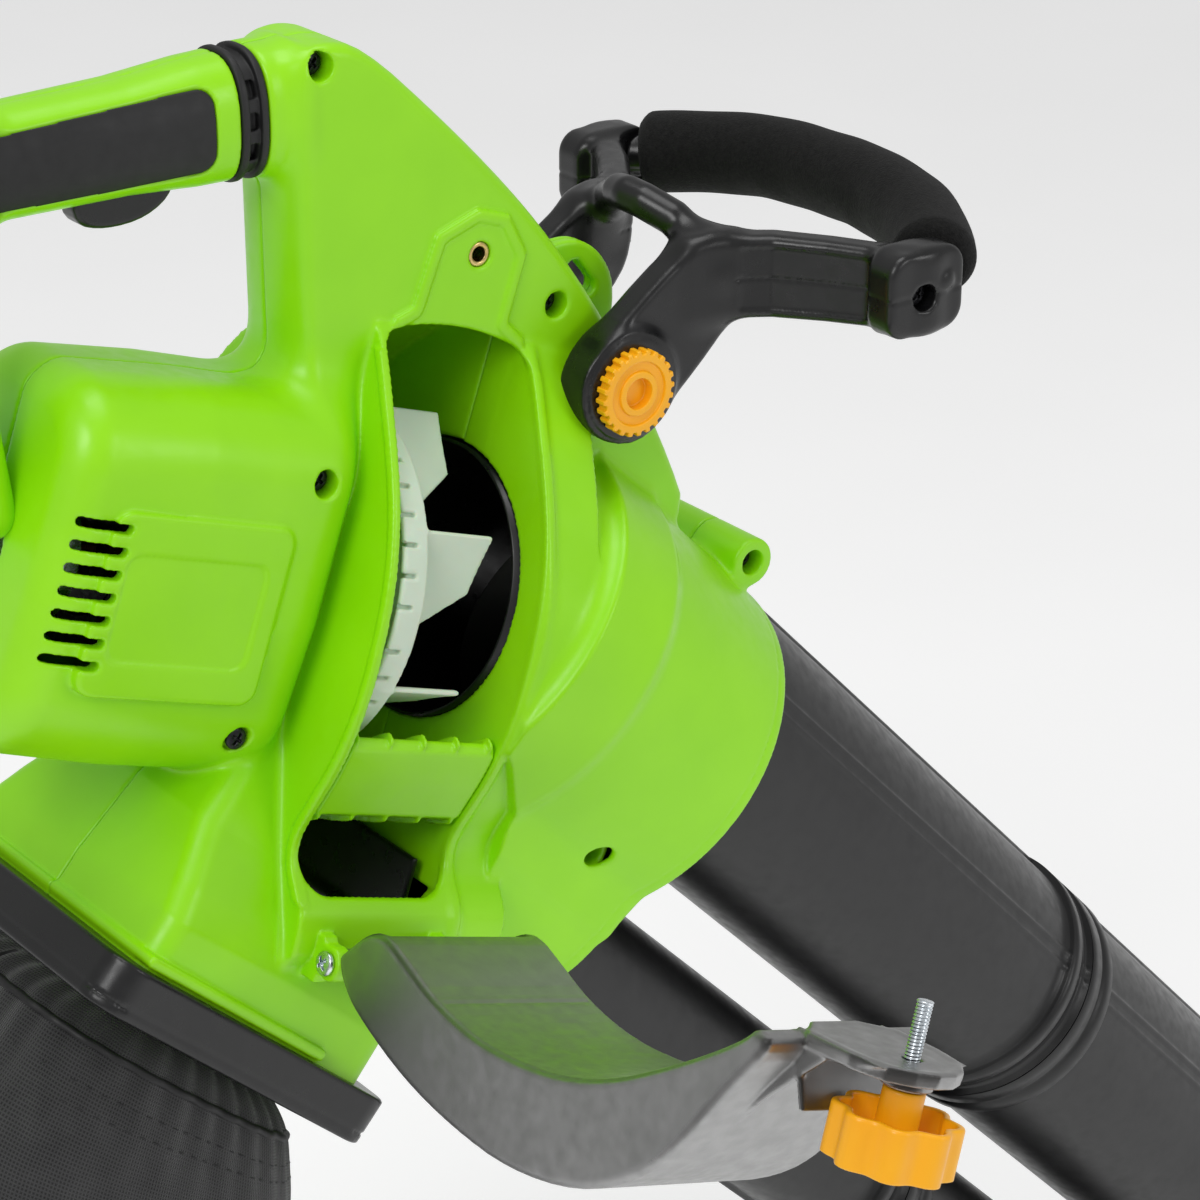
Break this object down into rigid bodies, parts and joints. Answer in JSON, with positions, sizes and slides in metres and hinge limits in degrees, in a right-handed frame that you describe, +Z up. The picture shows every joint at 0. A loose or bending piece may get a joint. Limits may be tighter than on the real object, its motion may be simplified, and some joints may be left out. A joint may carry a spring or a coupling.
{
  "type": "leaf blower and garden vacuum",
  "caption": "Hand-held electric leaf blower and vacuum with suction and blow tubes, hinged side flap, swivelling front handle, trigger handle and collecting bag.",
  "frame": {"origin": "middle of the rear grip, on the machine's centre plane", "axes": "+X forward towards the tubes, +Y to the operator's left, +Z up, in the pose in which the machine is held"},
  "size_m": [0.9238, 0.4961, 0.9005],
  "materials": {
    "green_plastic": "moulded, light satin",
    "black_plastic": "smooth satin",
    "tube_plastic": "extruded satin",
    "foam": "closed-cell foam",
    "soft_grip": "overmoulded",
    "yellow_plastic": "moulded",
    "smoked_plastic": "smoked translucent plastic",
    "natural_nylon": "slightly translucent",
    "steel": "zinc plated",
    "dark_steel": "black oxide",
    "brass": "turned",
    "copper": "wound and varnished",
    "fabric": "woven mesh"
  },
  "bodies": {
    "machine": {"housing_right": "green_plastic", "housing_left": "green_plastic", "housing_screw_column": "dark_steel", "housing_screw_spine": "dark_steel", "housing_screw_motor_upper": "dark_steel", "housing_screw_motor_lower": "dark_steel", "housing_screw_hood": "dark_steel", "housing_screw_rim": "dark_steel", "motor_stator": "copper", "front_bearing": "steel", "rear_bearing": "steel", "front_bearing_bracket": "black_plastic", "rear_bearing_bracket": "black_plastic", "carbon_brush_left": "dark_steel", "carbon_brush_right": "dark_steel", "motor_mount_plate": "black_plastic", "cutoff_tongue": "green_plastic", "threaded_insert": "brass", "flap_hinge_screw_rear": "steel", "flap_hinge_screw_front": "steel", "suction_tube_upper": "tube_plastic", "suction_tube_lower": "tube_plastic", "blow_tube_upper": "tube_plastic", "blow_tube_lower": "tube_plastic", "wheel_carrier": "black_plastic", "axle": "steel", "bag_frame": "black_plastic", "collecting_bag": "fabric", "handle_pivot_bolt": "steel", "handle_damper": "soft_grip", "rear_handle": "green_plastic", "grip_panel_right": "soft_grip", "grip_panel_left": "soft_grip", "power_inlet_gland": "soft_grip"},
    "rotor": {"impeller": "natural_nylon", "motor_shaft": "steel", "impeller_nut": "steel", "rotor_core": "dark_steel", "commutator": "copper", "cooling_fan": "black_plastic"},
    "flap": {"service_flap": "smoked_plastic"},
    "flap_screw": {"flap_knob_screw": "steel"},
    "flap_knob": {"flap_knob": "yellow_plastic"},
    "front_handle": {"front_handle_yoke": "black_plastic", "foam_grip": "foam", "pivot_cap": "black_plastic"},
    "lock_knob": {"lock_knob": "yellow_plastic"},
    "mode_selector": {"diverter_vane": "black_plastic", "mode_lever": "black_plastic"},
    "trigger": {"trigger": "black_plastic"},
    "lock_button": {"lock_on_button": "black_plastic"},
    "left_wheel": {"wheel_left": "black_plastic"},
    "right_wheel": {"wheel_right": "black_plastic"}
  },
  "joints": [
    {"name": "impeller_spin", "type": "hinge", "parent": "machine", "child": "rotor", "pos_m": [0.075, 0, -0.196], "axis": [0.9397, 0, -0.342], "continuous": true},
    {"name": "flap_hinge", "type": "hinge", "parent": "machine", "child": "flap", "pos_m": [0.05433, -0.085, -0.3332], "axis": [0.9397, 0, -0.342], "range_deg": [-85, 0]},
    {"name": "flap_screw_travel", "type": "slide", "parent": "flap", "child": "flap_screw", "axis": [-0.3407, -0.0872, -0.9361], "range_m": [0, 0.018]},
    {"name": "flap_knob_turn", "type": "hinge", "parent": "flap_screw", "child": "flap_knob", "pos_m": [0.07717, -0.35819, -0.27014], "axis": [0.3407, 0.0872, 0.9361], "continuous": true},
    {"name": "front_handle_tilt", "type": "hinge", "parent": "machine", "child": "front_handle", "pos_m": [0.207, 0, -0.136], "axis": [0, 1, 0], "range_deg": [-30, 25]},
    {"name": "lock_knob_turn", "type": "hinge", "parent": "machine", "child": "lock_knob", "pos_m": [0.207, -0.049, -0.136], "axis": [0, 1, 0], "continuous": true},
    {"name": "mode_select", "type": "hinge", "parent": "machine", "child": "mode_selector", "pos_m": [0.08068, 0, -0.34705], "axis": [0, 1, 0], "range_deg": [-80, 0]},
    {"name": "trigger_pull", "type": "hinge", "parent": "machine", "child": "trigger", "pos_m": [0.019, 0, -0.015], "axis": [0, 1, 0], "range_deg": [0, 8], "stiffness_Nm_per_rad": 0.3, "springref_deg": -5.73},
    {"name": "lock_button_press", "type": "slide", "parent": "machine", "child": "lock_button", "axis": [0, -1, 0], "range_m": [0, 0.003], "stiffness_N_per_m": 300, "springref_m": -0.001},
    {"name": "left_wheel_roll", "type": "hinge", "parent": "machine", "child": "left_wheel", "pos_m": [0.49604, 0.0445, -0.81028], "axis": [0, 1, 0], "continuous": true},
    {"name": "right_wheel_roll", "type": "hinge", "parent": "machine", "child": "right_wheel", "pos_m": [0.49604, -0.0445, -0.81028], "axis": [0, 1, 0], "continuous": true}
  ]
}
